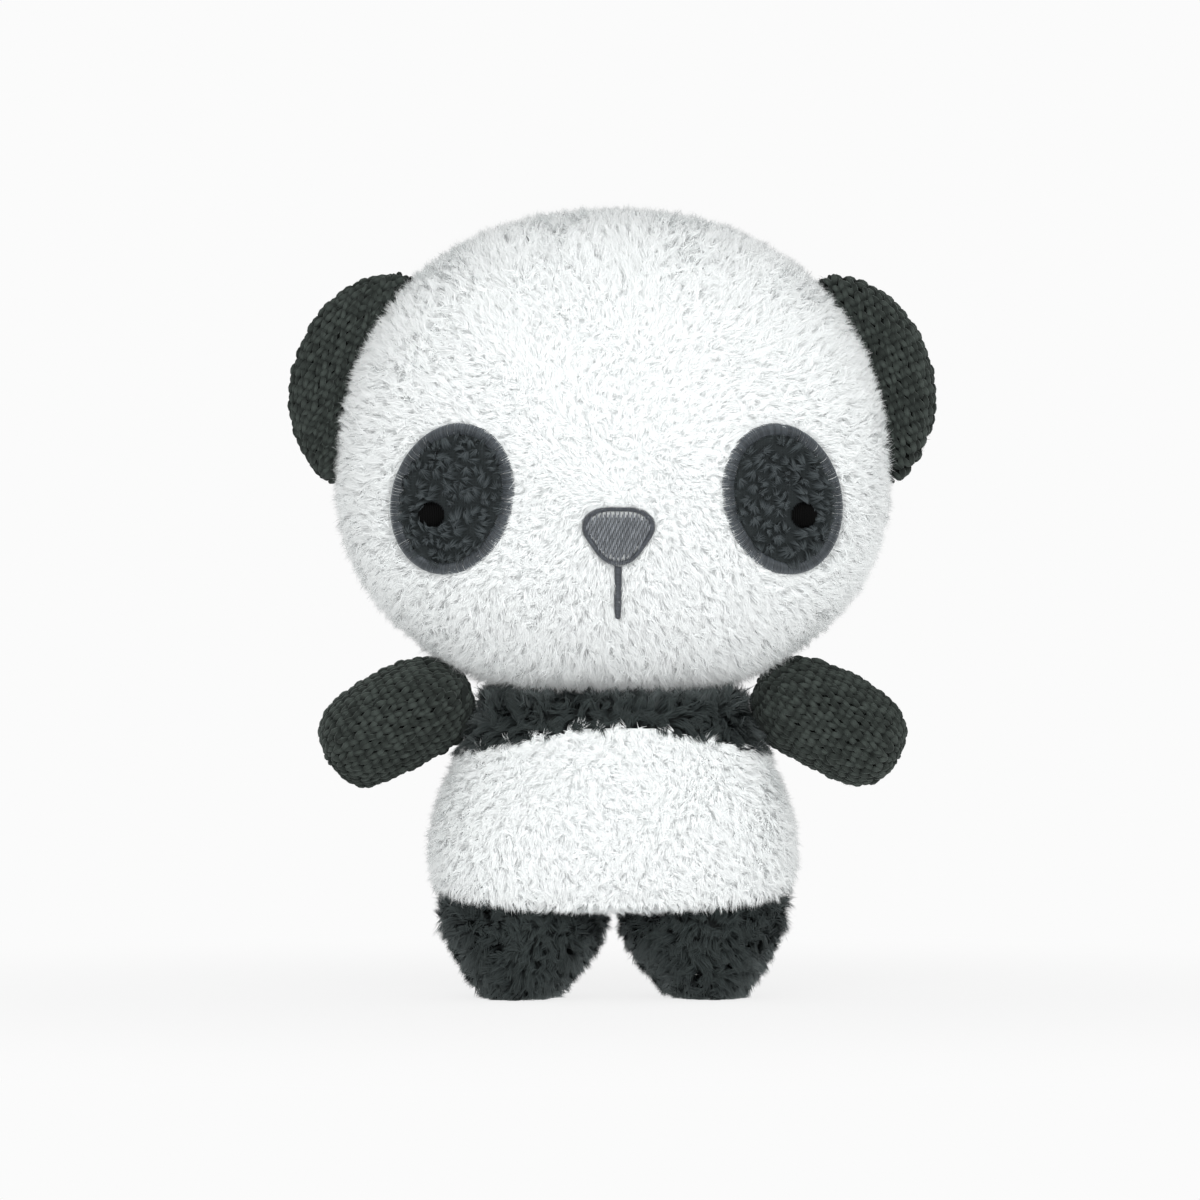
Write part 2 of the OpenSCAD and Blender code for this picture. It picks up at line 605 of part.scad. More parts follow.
head_front();
head_back();
head_stuffing();
eye_patch_left();
eye_patch_right();
eye_border_left();
eye_border_right();
pupil_left();
pupil_right();
nose();
mouth();
ear_front_left();
ear_back_left();
ear_padding_left();
ear_front_right();
ear_back_right();
ear_padding_right();
neck_stuffing();
neck_seam();
chest_front();
chest_back();
belly_front();
belly_back();
body_stuffing();
closing_stitch();
shoulder_seam_left();
arm_front_left();
arm_back_left();
arm_stuffing_left();
shoulder_seam_right();
arm_front_right();
arm_back_right();
arm_stuffing_right();
leg_front_left();
leg_back_left();
leg_stuffing_left();
leg_front_right();
leg_back_right();
leg_stuffing_right();
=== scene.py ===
"""Looks of the plush panda, built round its CAD frame. Lengths are in metres."""
import math

import bpy
import numpy as np
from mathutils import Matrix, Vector, kdtree
from mathutils.bvhtree import BVHTree


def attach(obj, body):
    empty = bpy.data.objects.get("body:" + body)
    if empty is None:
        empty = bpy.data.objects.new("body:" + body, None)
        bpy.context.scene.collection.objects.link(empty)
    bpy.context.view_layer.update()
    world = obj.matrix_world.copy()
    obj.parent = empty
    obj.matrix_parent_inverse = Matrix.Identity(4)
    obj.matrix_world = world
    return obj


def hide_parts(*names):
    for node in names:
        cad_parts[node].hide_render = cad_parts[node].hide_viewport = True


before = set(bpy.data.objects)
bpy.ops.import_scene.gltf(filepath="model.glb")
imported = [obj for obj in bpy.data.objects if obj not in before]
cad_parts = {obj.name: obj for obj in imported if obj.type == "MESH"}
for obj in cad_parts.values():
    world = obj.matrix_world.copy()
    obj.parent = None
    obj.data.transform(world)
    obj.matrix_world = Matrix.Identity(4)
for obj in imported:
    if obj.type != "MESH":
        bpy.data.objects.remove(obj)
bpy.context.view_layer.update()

# ---- Stuffing ----
# Loose polyester fibre fills the head, the ears, the body, the arms and the legs.
# It is blown in through the side seam and can't be seen once that is sewn shut.


def fibre_material(name, light, dark):
    """Loose or spun fibre, mottled between a light and a dark colour."""
    material = bpy.data.materials.new(name)
    material.use_nodes = True
    nodes, links = material.node_tree.nodes, material.node_tree.links
    shader = nodes["Principled BSDF"]
    place = nodes.new("ShaderNodeTexCoord")
    noise = nodes.new("ShaderNodeTexNoise")
    noise.inputs["Scale"].default_value = 900
    noise.inputs["Detail"].default_value = 4
    noise.inputs["Distortion"].default_value = 1.5
    ramp = nodes.new("ShaderNodeValToRGB")
    ramp.color_ramp.elements[0].color = (*dark, 1)
    ramp.color_ramp.elements[1].color = (*light, 1)
    bump = nodes.new("ShaderNodeBump")
    bump.inputs["Distance"].default_value = 0.0006
    links.new(place.outputs["Object"], noise.inputs["Vector"])
    links.new(noise.outputs["Fac"], ramp.inputs["Fac"])
    links.new(noise.outputs["Fac"], bump.inputs["Height"])
    links.new(ramp.outputs["Color"], shader.inputs["Base Color"])
    links.new(bump.outputs["Normal"], shader.inputs["Normal"])
    shader.inputs["Roughness"].default_value = 0.95
    shader.inputs["Specular IOR Level"].default_value = 0.1
    return material


def dress(node, material):
    """Gives a CAD node its finish."""
    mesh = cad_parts[node].data
    mesh.materials.clear()
    mesh.materials.append(material)


fibrefill = fibre_material("fibrefill", (0.86, 0.86, 0.83), (0.62, 0.62, 0.6))
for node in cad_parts:
    if "stuffing" in node or "padding" in node:
        dress(node, fibrefill)

# ---- Head ----
# Two panels of long white plush, sewn edge to edge into one big round pillow.
# The pile is soft, about 4 to 8 mm long, and falls into small loose tufts.


def closed_skin(name, parts, voxel, sink, rounds):
    """A closed, even skin round some CAD nodes, sunk below their outside."""
    points = [v.co[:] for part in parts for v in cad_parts[part].data.vertices]
    mesh = bpy.data.meshes.new(name)
    mesh.from_pydata(points, [], [])
    skin = bpy.data.objects.new(name, mesh)
    bpy.context.collection.objects.link(skin)
    bpy.ops.object.select_all(action="DESELECT")
    skin.select_set(True)
    bpy.context.view_layer.objects.active = skin
    bpy.ops.object.mode_set(mode="EDIT")
    bpy.ops.mesh.select_all(action="SELECT")
    bpy.ops.mesh.convex_hull()
    bpy.ops.object.mode_set(mode="OBJECT")
    remesh = skin.modifiers.new("even", "REMESH")
    remesh.mode = "VOXEL"
    remesh.voxel_size = voxel
    smooth = skin.modifiers.new("soft", "SMOOTH")
    smooth.factor = 0.5
    smooth.iterations = rounds
    shrink = skin.modifiers.new("sunk", "DISPLACE")
    shrink.mid_level = 0
    shrink.strength = -sink
    for modifier in ("even", "soft", "sunk"):
        bpy.ops.object.modifier_apply(modifier=modifier)
    return skin


def skin_arrays(skin):
    """Points, normals and triangles of a skin."""
    mesh = skin.data
    mesh.calc_loop_triangles()
    points = np.empty(len(mesh.vertices) * 3)
    mesh.vertices.foreach_get("co", points)
    normals = np.empty(len(mesh.vertices) * 3)
    mesh.vertices.foreach_get("normal", normals)
    triangles = np.empty(len(mesh.loop_triangles) * 3, dtype=np.int64)
    mesh.loop_triangles.foreach_get("vertices", triangles)
    return points.reshape(-1, 3), normals.reshape(-1, 3), triangles.reshape(-1, 3)


def unit(v):
    return v / np.maximum(np.linalg.norm(v, axis=-1, keepdims=True), 1e-12)


def half_of(front):
    """Picks the places in front of the side seam, or those behind it."""
    return lambda c: c[:, 1] < 0 if front else c[:, 1] >= 0


def wander(points, size, seed):
    """A smooth field of random directions that changes over a given distance."""
    rng = np.random.default_rng(seed)
    usual_length = 1.7  # of three normal draws taken together
    total = np.zeros_like(points)
    for share in (1.0, 0.6, 0.4):
        waves = rng.normal(size=(3, 3)) * 2 * math.pi / size / usual_length / share
        total += share * np.sin(points @ waves + rng.uniform(0, 2 * math.pi, 3))
    return total


def make_piece(name, points, faces, sizes, uv, material, normals=None):
    """A mesh from arrays: faces lists the corners one after another, sizes the corners each."""
    mesh = bpy.data.meshes.new(name)
    mesh.vertices.add(len(points))
    mesh.vertices.foreach_set("co", points.astype(np.float32).ravel())
    mesh.loops.add(len(faces))
    mesh.loops.foreach_set("vertex_index", faces.astype(np.int32))
    mesh.polygons.add(len(sizes))
    starts = np.concatenate([[0], np.cumsum(sizes)[:-1]])
    mesh.polygons.foreach_set("loop_start", starts.astype(np.int32))
    mesh.update(calc_edges=True)
    layer = mesh.uv_layers.new(name="OFBake")
    layer.data.foreach_set("uv", uv.astype(np.float32).ravel())
    mesh.polygons.foreach_set("use_smooth", np.ones(len(sizes), dtype=bool))
    mesh.materials.append(material)
    mesh.update()
    if normals is not None:
        mesh.normals_split_custom_set_from_vertices(normals.astype(np.float32))
    piece = bpy.data.objects.new(name, mesh)
    bpy.context.collection.objects.link(piece)
    return piece


def nearest(points, centres):
    """Index of the nearest centre for each point."""
    tree = kdtree.KDTree(len(centres))
    for i, centre in enumerate(centres):
        tree.insert(centre, i)
    tree.balance()
    return np.array([tree.find(p)[1] for p in points])


def scatter(skin, keep, count, rng):
    """Random places and normals over the kept part of a skin, and that part's own mesh."""
    points, normals, triangles = skin_arrays(skin)
    corners = points[triangles]
    triangles = triangles[keep(corners.mean(axis=1))]
    corners = points[triangles]
    first, second, third = corners[:, 0], corners[:, 1], corners[:, 2]
    area = np.linalg.norm(np.cross(second - first, third - first), axis=1)
    pick = np.searchsorted(np.cumsum(area) / area.sum(), rng.random(count))
    a, b = rng.random((2, count))
    fold = a + b > 1
    a, b = np.where(fold, 1 - a, a), np.where(fold, 1 - b, b)
    share = np.stack([1 - a - b, a, b], axis=1)[:, :, None]
    used, cloth = np.unique(triangles, return_inverse=True)
    return ((points[triangles[pick]] * share).sum(axis=1),
            unit((normals[triangles[pick]] * share).sum(axis=1)),
            points[used], normals[used], cloth.reshape(-1, 3))


# A strand's lower half stands nearly upright and its upper half leans over.
low_lean, tip_rise, middle_pull = 0.35, 0.55, 0.35
strand_uv_half = 0.004
# The cloth between the strands has the colour of a strand's root, the darker colour that is painted shade
# deep in the pile.
cloth_uv = [[0.40, 0.0], [0.42, 0.0], [0.41, 0.02]]


def bend(place, out, tall, lean, way):
    """Middles and tips of strands that rise from a place and lean over."""
    middle = place + tall * 0.5 * unit(out + low_lean * lean * way)
    return middle, middle + tall * 0.5 * unit(out * tip_rise + lean * way)


def plush_piece(name, skin, keep, count, length, width, tuft, gather, lean, comb, material,
                seed, clear=None, floor=None, trim=None):
    """Cloth and its pile as one mesh.

    The strands stand in tufts, which gather pulls together. comb gives the way that the
    pile is brushed, clear the strands to leave out, floor the lowest height of a strand,
    and trim each strand's share of the length.
    """
    rng = np.random.default_rng(seed)
    root, normal, skin_points, skin_normals, skin_faces = scatter(skin, keep, count, rng)
    heart, heart_normal, _, _, _ = scatter(skin, keep, max(8, count // tuft), rng)

    def along(place, out):
        """The brushed direction with some wandering, laid flat on the cloth."""
        way = comb(place, out) + 0.3 * wander(place, 0.03, seed)
        return way - out * (way * out).sum(axis=1, keepdims=True)

    own = nearest(root, heart)
    sway = rng.normal(size=heart.shape) * 0.75
    heart_way = unit(along(heart, heart_normal) + sway
                     - heart_normal * (sway * heart_normal).sum(axis=1, keepdims=True))
    heart_lean = lean * rng.uniform(0.55, 1.3, (len(heart), 1))
    heart_long = length * rng.uniform(0.8, 1.15, (len(heart), 1))
    way = unit(heart_way[own] + 0.45 * unit(along(root, normal)) + 0.4 * rng.normal(size=root.shape))
    leaning = heart_lean[own]
    tall = heart_long[own] * rng.uniform(0.7, 1.1, (len(root), 1))
    if trim is not None:
        tall *= trim(root)[:, None]
    middle, tip = bend(root, normal, tall, leaning, way)
    heart_middle, heart_tip = bend(heart, heart_normal, heart_long, heart_lean, heart_way)
    middle += (heart_middle[own] - middle) * gather * middle_pull
    tip += (heart_tip[own] - tip) * gather * rng.uniform(0.7, 1.0, (len(root), 1))
    # Strands are shaded nearly as the cloth under them, because light passes through pile.
    soft = unit(normal + 0.22 * leaning * heart_way[own] + 0.12 * rng.normal(size=root.shape))
    if clear is not None:
        left = ~clear(root, middle, tip)
        root, normal, middle, tip, soft = root[left], normal[left], middle[left], tip[left], soft[left]
    if floor is not None:
        middle[:, 2] = np.maximum(middle[:, 2], floor)
        tip[:, 2] = np.maximum(tip[:, 2], floor)
    n = len(root)
    line = unit(tip - root)
    side = unit(np.cross(line, normal) + 1e-9)
    turn = rng.uniform(-0.6, 0.6, (n, 1))
    side = side * np.cos(turn) + np.cross(side, line) * np.sin(turn)
    half = width * 0.5 * rng.uniform(0.7, 1.3, (n, 1))
    hair = np.stack([root - side * half, root + side * half,
                     middle - side * half * 0.85, middle + side * half * 0.85, tip], axis=1)
    base = len(skin_points)
    first = base + 5 * np.arange(n)[:, None]
    hair_faces = first + np.array([0, 1, 3, 2, 2, 3, 4])
    faces = np.concatenate([skin_faces.ravel(), hair_faces.ravel()])
    sizes = np.concatenate([np.full(len(skin_faces), 3), np.tile([4, 3], n)])
    # U is a strand's own tint and V its height, from 0 at the root to 1 at the tip.
    tint = rng.uniform(0.02, 0.98, (n, 1))
    corner_u = strand_uv_half * np.array([-1, 1, 1, -1, -1, 1, 0])
    corner_v = np.broadcast_to([0, 0, 0.5, 0.5, 0.5, 0.5, 1], (n, 7))
    hair_uv = np.stack([tint + corner_u, corner_v], axis=-1)
    skin_uv = np.tile(cloth_uv, (len(skin_faces), 1))
    return make_piece(name, np.concatenate([skin_points, hair.reshape(-1, 3)]), faces, sizes,
                      np.concatenate([skin_uv, hair_uv.reshape(-1, 2)]), material,
                      np.concatenate([skin_normals, np.repeat(soft, 5, axis=0)]))


def pile_group():
    """Colour of a strand from its root to its tip, with each strand a little different."""
    group = bpy.data.node_groups.new("strand shade", "ShaderNodeTree")
    face = group.interface
    for name in ("Root", "Middle", "Tip"):
        face.new_socket(name, in_out="INPUT", socket_type="NodeSocketColor")
    face.new_socket("Vary", in_out="INPUT", socket_type="NodeSocketFloat")
    face.new_socket("Color", in_out="OUTPUT", socket_type="NodeSocketColor")
    face.new_socket("Streak", in_out="OUTPUT", socket_type="NodeSocketFloat")
    nodes, links = group.nodes, group.links
    given, result = nodes.new("NodeGroupInput"), nodes.new("NodeGroupOutput")
    uv = nodes.new("ShaderNodeUVMap")
    uv.uv_map = "OFBake"
    split = nodes.new("ShaderNodeSeparateXYZ")
    links.new(uv.outputs["UV"], split.inputs["Vector"])

    def ramp_range(low, high):
        node = nodes.new("ShaderNodeMapRange")
        node.interpolation_type = "SMOOTHSTEP"
        node.inputs["From Min"].default_value = low
        node.inputs["From Max"].default_value = high
        links.new(split.outputs["Y"], node.inputs["Value"])
        return node.outputs["Result"]

    def mix(factor, a, b, blend="MIX"):
        node = nodes.new("ShaderNodeMix")
        node.data_type = "RGBA"
        node.blend_type = blend
        for socket, source in (("Factor", factor), ("A", a), ("B", b)):
            links.new(source, [s for s in node.inputs if s.name == socket and s.enabled][0])
        return [s for s in node.outputs if s.enabled][0]

    low = mix(ramp_range(0.0, 0.45), given.outputs["Root"], given.outputs["Middle"])
    shade = mix(ramp_range(0.4, 1.0), low, given.outputs["Tip"])
    # The tint is rounded first, so that a strand has one random value over its width.
    noise = nodes.new("ShaderNodeTexWhiteNoise")
    noise.noise_dimensions = "1D"
    snap = nodes.new("ShaderNodeMath")
    snap.operation = "SNAP"
    snap.inputs[1].default_value = 0.01
    links.new(split.outputs["X"], snap.inputs[0])
    links.new(snap.outputs["Value"], noise.inputs["W"])
    grain = nodes.new("ShaderNodeTexNoise")
    grain.inputs["Scale"].default_value = 60
    links.new(uv.outputs["UV"], grain.inputs["Vector"])
    varied = mix(given.outputs["Vary"], shade, noise.outputs["Value"], "SOFT_LIGHT")
    links.new(varied, result.inputs["Color"])
    links.new(grain.outputs["Fac"], result.inputs["Streak"])
    return group


strand_shade = pile_group()


def strand_material(name, root, middle, tip, vary, rough, sheen, sheen_tint=(1, 1, 1), shine=0.2):
    """Plush or thread, coloured from each strand's root to its tip."""
    material = bpy.data.materials.new(name)
    material.use_nodes = True
    nodes, links = material.node_tree.nodes, material.node_tree.links
    shader = nodes["Principled BSDF"]
    shade = nodes.new("ShaderNodeGroup")
    shade.node_tree = strand_shade
    for socket, colour in (("Root", root), ("Middle", middle), ("Tip", tip)):
        shade.inputs[socket].default_value = (*colour, 1)
    shade.inputs["Vary"].default_value = vary
    rougher = nodes.new("ShaderNodeMapRange")
    rougher.inputs["To Min"].default_value = rough - 0.1
    rougher.inputs["To Max"].default_value = rough + 0.1
    links.new(shade.outputs["Streak"], rougher.inputs["Value"])
    links.new(shade.outputs["Color"], shader.inputs["Base Color"])
    links.new(rougher.outputs["Result"], shader.inputs["Roughness"])
    shader.inputs["Sheen Weight"].default_value = sheen
    shader.inputs["Sheen Roughness"].default_value = 0.5
    shader.inputs["Sheen Tint"].default_value = (*sheen_tint, 1)
    shader.inputs["Specular IOR Level"].default_value = shine
    return material


# Roots, and the cloth under them, are a little darker than the tips: painted shade deep in the pile.
white_pile = strand_material("white_pile", (0.885, 0.915, 0.915), (0.90, 0.93, 0.93),
                             (0.92, 0.945, 0.942), 0.04, 0.9, 0.1)
# A faint glow stands for the light that scatters inside white pile.
white_shader = white_pile.node_tree.nodes["Principled BSDF"]
white_shader.inputs["Emission Color"].default_value = (1, 1, 1, 1)
white_shader.inputs["Emission Strength"].default_value = 0.1

# The head's skin and the shape of the face, which the face's pieces lie on.
head_half_w, head_half_d = 0.0875, 0.047
head_up, head_low, head_mid_z = 0.083, 0.069, 0.167
outline_up, outline_low = 2.2, 2.28
dome_in, dome_out = 2.6, 2.2
pile_depth = 0.003


def face_y(x, z):
    """How far forward the cloth of the face stands at a place across and up."""
    up = z - head_mid_z
    n = np.where(up >= 0, outline_up, outline_low)
    reach = np.where(up >= 0, head_up, head_low)
    share = ((np.abs(x) / head_half_w) ** n + (np.abs(up) / reach) ** n) ** (1 / n)
    return -head_half_d * np.maximum(0, 1 - share ** dome_in) ** (1 / dome_out)


def on_face(x, z, h):
    """A place h above the cloth of the face."""
    d = 0.0005
    x, z, h = np.broadcast_arrays(np.asarray(x, float), z, h)
    out = unit(np.stack([(face_y(x + d, z) - face_y(x - d, z)) / (2 * d), -np.ones_like(x),
                         (face_y(x, z + d) - face_y(x, z - d)) / (2 * d)], axis=-1))
    return np.stack([x, face_y(x, z), z], axis=-1) + out * h[..., None]


eye_x, eye_z, eye_lean = 0.05145, 0.1582, math.radians(15)
eye_half_w, eye_half_h, border_w = 0.01875, 0.0238, 0.0032
nose_tip_z, nose_half_w, nose_h, nose_corner = 0.1376, 0.0112, 0.0178, 0.11
mouth_l, mouth_half_w = 0.0156, 0.0012


def eye_share(x, z):
    """1 on the outside of either eye patch, less within it."""
    dx, dz = np.abs(x) - eye_x, z - eye_z
    a = dx * math.cos(eye_lean) + dz * math.sin(eye_lean)
    b = -dx * math.sin(eye_lean) + dz * math.cos(eye_lean)
    return np.hypot(a / eye_half_w, b / eye_half_h)


def nose_reach(a):
    """Reach of the nose's rounded triangle at an angle."""
    return 1 + nose_corner * np.sin(3 * a)


nose_spread = max(nose_reach(math.radians(a)) * math.cos(math.radians(a)) for a in range(0, 95, 5))


def nose_point(a, s):
    """Place across and up on the nose's outline, shrunk by s about its middle."""
    r = s * nose_reach(a)
    return (r * np.cos(a) * nose_half_w / nose_spread,
            nose_tip_z + ((1 + nose_corner) + r * np.sin(a)) * nose_h / 2)


def nose_share(x, z):
    """1 on the outline of the nose, less within it."""
    across, up = x * nose_spread / nose_half_w, (z - nose_tip_z) * 2 / nose_h - (1 + nose_corner)
    return np.hypot(up, across) / nose_reach(np.arctan2(up, across))


def off_the_face(root, middle, tip):
    """Strands that would grow through, or lie over, the stitched parts of the face."""
    gone = np.zeros(len(root), dtype=bool)
    for place, eye, nose, mouth in ((root, 0.96, 0.98, 0.9),
                                    (middle, 0.9, 0.93, 0.7),
                                    (tip, 0.86, 0.9, 0.4)):
        x, z, front = place[:, 0], place[:, 2], place[:, 1] < 0
        gone |= front & (eye_share(x, z) < eye)
        gone |= front & (nose_share(x, z) < nose)
        gone |= front & (np.abs(x) < mouth_half_w * mouth) & (z < nose_tip_z) & (z > nose_tip_z - mouth_l)
    return gone


face_mid_z = 0.160
chin_z, chin_fade = 0.118, 0.012


def head_comb(place, out):
    """The pile of the head falls outwards from the middle of the face and down."""
    way = place - np.array([0, 0, face_mid_z])
    way[:, 1] = 0
    return 0.8 * unit(way) + np.array([0, 0, -0.2])


def under_chin(place):
    """The pile is left longer under the chin, where it hangs over the shoulders."""
    return 1 + 0.6 * np.clip((chin_z - place[:, 2]) / chin_fade, 0, 1)


head_skin = closed_skin("head_skin", ["head_front", "head_back"], 0.0025, pile_depth, 6)
head_pile = dict(skin=head_skin, length=0.0064, width=0.00023, tuft=10, gather=0.35, lean=0.85,
                 comb=head_comb, material=white_pile, trim=under_chin)
head_front = plush_piece("head_front_plush", keep=half_of(True), count=180000, seed=11,
                         clear=off_the_face, **head_pile)
head_back = plush_piece("head_back_plush", keep=half_of(False), count=118000, seed=12, **head_pile)
for piece, node in ((head_front, "head_front"), (head_back, "head_back")):
    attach(piece, "head")
    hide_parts(node)
bpy.data.objects.remove(head_skin)

# ---- Eyes ----
# A short dark plush patch, held by a wide border of satin stitch, with a pupil
# of black thread low down on its outer side.
# The patch pile is darkest at its roots and on the cloth and lightest at its tips: painted shade deep in
# the pile and painted highlight on the tips.
dark_short = strand_material("short_grey_pile", (0.016, 0.020, 0.021), (0.038, 0.046, 0.049),
                             (0.082, 0.096, 0.102), 0.35, 0.7, 0.15, (0.7, 0.8, 0.8), 0.12)
# Each border stitch is lighter at its inner and outer ends than in its middle: painted highlights along
# both edges of the border.
border_thread = strand_material("border_thread", (0.085, 0.098, 0.110), (0.040, 0.047, 0.053),
                                (0.095, 0.109, 0.122), 0.4, 0.45, 0.1, (0.8, 0.85, 0.9), 0.3)
black_thread = strand_material("black_thread", (0.001, 0.001, 0.001), (0.0015, 0.0015, 0.0015),
                               (0.001, 0.001, 0.001), 0.1, 0.6, 0.0, (1, 1, 1), 0.05)


def threads(name, paths, radius, material, seed, sides=5, thin=0.55):
    """Stitches: each path becomes one thread, thinner at its ends."""
    rng = np.random.default_rng(seed)
    paths = np.asarray(paths)
    count, steps, _ = paths.shape
    ahead = unit(np.gradient(paths, axis=1))
    up = unit(rng.normal(size=(count, 1, 3)) * 0.01 + np.array([0, -1.0, 0]))
    side = unit(np.cross(ahead, up))
    up = np.cross(side, ahead)
    t = np.linspace(0, 1, steps)
    thick = np.broadcast_to(radius * (thin + (1 - thin) * np.sin(math.pi * t) ** 0.5), (count, steps))
    angle = 2 * math.pi * np.arange(sides) / sides
    ring = (side[:, :, None] * np.cos(angle)[:, None] + up[:, :, None] * np.sin(angle)[:, None])
    points = paths[:, :, None] + ring * thick[:, :, None, None]
    start = (np.arange(count) * steps * sides)[:, None, None]
    row = (np.arange(steps - 1) * sides)[None, :, None]
    k, m = np.arange(sides)[None, None, :], (np.arange(sides) + 1)[None, None, :] % sides
    near, far = start + row, start + row + sides
    quads = np.stack([near + k, far + k, far + m, near + m], axis=-1)
    tint = rng.uniform(0.03, 0.93, (count, 1, 1))
    u0, u1 = tint + 0.04 * np.arange(sides) / sides, tint + 0.04 * (np.arange(sides) + 1) / sides
    v0, v1 = t[:-1][None, :, None], t[1:][None, :, None]
    wide = (count, steps - 1, sides)
    uv = np.stack([np.stack([np.broadcast_to(a, wide), np.broadcast_to(b, wide)], -1)
                   for a, b in ((u0, v0), (u0, v1), (u1, v1), (u1, v0))], axis=-2)
    cap_ring = np.stack([0.5 + 0.01 * np.cos(angle), 0.01 + 0.01 * np.sin(angle)], -1)
    caps = []
    for end, flip in ((0, 1), (steps - 1, -1)):
        cap = np.arange(count)[:, None] * steps * sides + end * sides + np.arange(sides)[::flip]
        caps.append(cap.ravel())
    faces = np.concatenate([quads.ravel()] + caps)
    sizes = np.concatenate([np.full(count * (steps - 1) * sides, 4), np.full(2 * count, sides)])
    return make_piece(name, points.reshape(-1, 3), faces, sizes,
                      np.concatenate([uv.reshape(-1, 2), np.tile(cap_ring, (2 * count, 1))]), material)


pupil_x, pupil_z, pupil_r = eye_x + 0.0056, eye_z - 0.0048, 0.0039
border_stitches, border_under = 300, 0.25


def everywhere(c):
    """Picks every place."""
    return np.ones(len(c), dtype=bool)


def patch_comb(place, out):
    """The short pile of the patch swirls this way and that."""
    return 0.3 * wander(place, 0.008, 5)


def off_the_patch(root, middle, tip):
    """Strands of the patch that would grow through its border or its pupil."""
    past = eye_share(root[:, 0], root[:, 2]) > 0.86
    for place in (root, middle, tip):
        past |= np.hypot(np.abs(place[:, 0]) - pupil_x, place[:, 2] - pupil_z) < pupil_r
    return past


def eye_place(angle, w, h, lift, side):
    """A place above the face on an oval about an eye's middle."""
    x, z = w * np.cos(angle), h * np.sin(angle)
    at = on_face(eye_x + x * math.cos(eye_lean) - z * math.sin(eye_lean),
                 eye_z + x * math.sin(eye_lean) + z * math.cos(eye_lean), lift)
    return at * np.array([side, 1, 1])


for name, side in (("left", 1), ("right", -1)):
    patch_skin = closed_skin("patch_skin", [f"eye_patch_{name}"], 0.0009, 0.0004, 2)
    patch = plush_piece(f"eye_patch_plush_{name}", patch_skin, keep=everywhere, count=9000,
                        length=0.0030, width=0.00022, tuft=34, gather=0.85, lean=1.3,
                        comb=patch_comb, material=dark_short, seed=21 + side,
                        clear=off_the_patch)
    bpy.data.objects.remove(patch_skin)
    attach(patch, "head")
    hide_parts(f"eye_patch_{name}")

    # Stitches lie side by side round the patch, and each starts a little way in over it.
    angle = np.linspace(0, 2 * math.pi, border_stitches, endpoint=False)[:, None]
    angle = angle + np.random.default_rng(31 + side).normal(size=angle.shape) * 0.003
    across = np.linspace(0, 1, 7)[None, :]
    inner_w, inner_h = eye_half_w - border_w, eye_half_h - border_w
    rise = 0.0003 + 0.0018 * np.sin(math.pi * across) ** 0.6
    across = (1 + border_under) * across - border_under
    border = threads(f"eye_border_stitch_{name}",
                     eye_place(angle + 0.012 * (across - 0.5), inner_w + border_w * across,
                               inner_h + border_w * across, rise, side),
                     0.00027, border_thread, 41 + side)
    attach(border, "head")
    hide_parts(f"eye_border_{name}")

    # Upright stitches fill the pupil, which swells towards its middle.
    rows = np.linspace(-0.92, 0.92, 15)[:, None]
    reach = np.sqrt(1 - rows ** 2)
    t = np.linspace(-1, 1, 9)[None, :]
    lift = 0.0026 + 0.0012 * np.sqrt(np.maximum(0, 1 - (t * reach) ** 2 - rows ** 2 * 0.9))
    pupil = threads(f"pupil_stitch_{name}",
                    on_face(pupil_x + pupil_r * rows, pupil_z + pupil_r * t * reach, lift)
                    * np.array([side, 1, 1]), 0.00036, black_thread, 51 + side)
    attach(pupil, "head")
    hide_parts(f"pupil_{name}")

# ---- Nose and mouth ----
# Both are embroidered on the cloth of the face: short upright stitches fill the nose,
# a dark line of satin stitch runs round it, and one satin column makes the mouth.
# Each nose stitch is darker at both ends than in its middle: painted shade where it sinks into the cloth.
nose_thread = strand_material("nose_thread", (0.07, 0.078, 0.088), (0.17, 0.183, 0.20),
                              (0.07, 0.078, 0.088), 0.5, 0.5, 0.15, (0.9, 0.95, 1), 0.35)
# The outline and mouth stitches are darker at both ends too: painted shade where they sink into the cloth.
outline_thread = strand_material("outline_thread", (0.03, 0.034, 0.04), (0.055, 0.062, 0.073),
                                 (0.03, 0.034, 0.04), 0.4, 0.45, 0.2, (0.8, 0.85, 0.9), 0.4)
stitches = []
column_gap, stitch_l, fill_share = 0.00046, 0.0026, 0.93
t = np.linspace(0, 1, 5)
for i, x in enumerate(np.arange(-nose_half_w, nose_half_w, column_gap)):
    low = nose_tip_z - stitch_l + (i % 3) * stitch_l / 3
    while low < nose_tip_z + nose_h:
        z = np.linspace(low, low + stitch_l, 5)
        if np.all(nose_share(x, z) < fill_share):
            stitches.append(on_face(x, z, 0.0016 + 0.00035 * np.sin(math.pi * t)))
        low += stitch_l
angle = np.linspace(0, 2 * math.pi, 130, endpoint=False)[:, None]
across = np.linspace(0, 1, 6)[None, :]
edge_x, edge_z = nose_point(angle, 0.84 + 0.18 * across)
edge = on_face(edge_x, edge_z, 0.0006 + 0.0015 * np.sin(math.pi * across) ** 0.6)
fill = threads("nose_fill", stitches, 0.00029, nose_thread, 61)
outline = threads("nose_outline", edge, 0.00028, outline_thread, 62)
bpy.ops.object.select_all(action="DESELECT")
for piece in (fill, outline):
    piece.select_set(True)
bpy.context.view_layer.objects.active = fill
bpy.ops.object.join()
fill.name = "nose_stitch"
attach(fill, "head")
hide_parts("nose")

down = np.linspace(0, 1, 42)[:, None]
across = np.linspace(-1, 1, 6)[None, :]
half = mouth_half_w * (1 - 0.3 * down ** 6)
mouth_z = nose_tip_z - 0.0003 - down * mouth_l - 0.0002 * across
mouth_path = on_face(across * half, mouth_z, 0.0008 + 0.0011 * np.sqrt(1 - across ** 2))
mouth = threads("mouth_stitch", mouth_path, 0.00026, outline_thread, 63)
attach(mouth, "head")
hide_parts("mouth")
